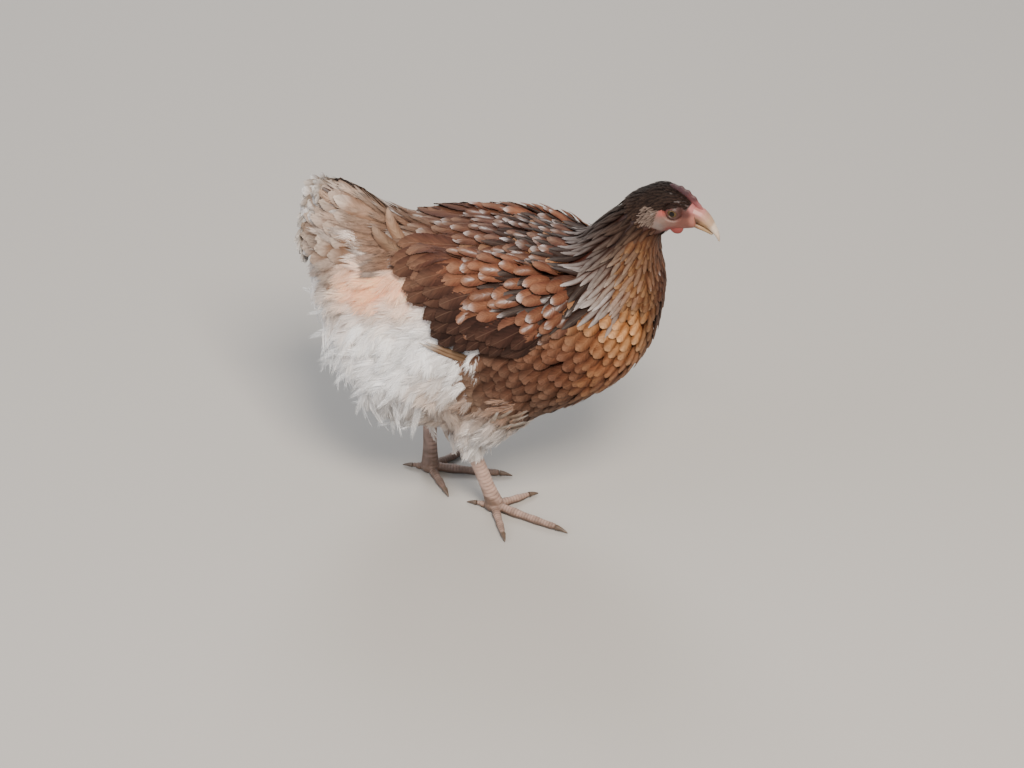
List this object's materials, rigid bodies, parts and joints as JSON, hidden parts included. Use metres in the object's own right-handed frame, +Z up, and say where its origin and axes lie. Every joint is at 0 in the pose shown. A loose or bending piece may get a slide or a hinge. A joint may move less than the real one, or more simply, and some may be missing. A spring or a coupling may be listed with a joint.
{
  "type": "hen",
  "caption": "Life-size standing model of a young brown laying hen in mid stride, with folded wings, an upright head and a short raised tail; it rests on its own feet.",
  "frame": {"origin": "on the floor, under the middle of the bird's bounding box", "axes": "+X forward along the body, towards the bill; +Y to the bird's left; +Z up"},
  "size_m": [0.3378, 0.1502, 0.3191],
  "materials": {
    "rufous_feathers": "soft, matt, chestnut red",
    "buff_feathers": "soft, matt, pale buff",
    "white_fluff": "soft, matt, off white",
    "face_skin": "fine-grained bare skin",
    "comb_skin": "smooth, slightly waxy skin",
    "earlobe_skin": "wrinkled pale skin",
    "bill_horn": "smooth horn",
    "eye_gloss": "wet, glossy",
    "leg_scales": "scaled, pinkish cream",
    "claw_horn": "dull horn"
  },
  "bodies": {
    "root": {"tail": "buff_feathers", "trunk": "rufous_feathers", "neck": "rufous_feathers", "head": "face_skin", "eye_right": "eye_gloss", "eye_left": "eye_gloss", "bill_upper": "bill_horn", "bill_lower": "bill_horn", "comb": "comb_skin", "earlobe_right": "earlobe_skin", "earlobe_left": "earlobe_skin", "wattle_right": "comb_skin", "wattle_left": "comb_skin", "wing_right": "rufous_feathers", "wing_left": "rufous_feathers", "foot_right": "leg_scales", "claw_right_middle": "claw_horn", "claw_right_outer": "claw_horn", "claw_right_inner": "claw_horn", "claw_right_hind": "claw_horn", "shank_right": "leg_scales", "thigh_right": "white_fluff", "foot_left": "leg_scales", "claw_left_middle": "claw_horn", "claw_left_outer": "claw_horn", "claw_left_inner": "claw_horn", "claw_left_hind": "claw_horn", "shank_left": "leg_scales", "thigh_left": "white_fluff"}
  },
  "joints": []
}
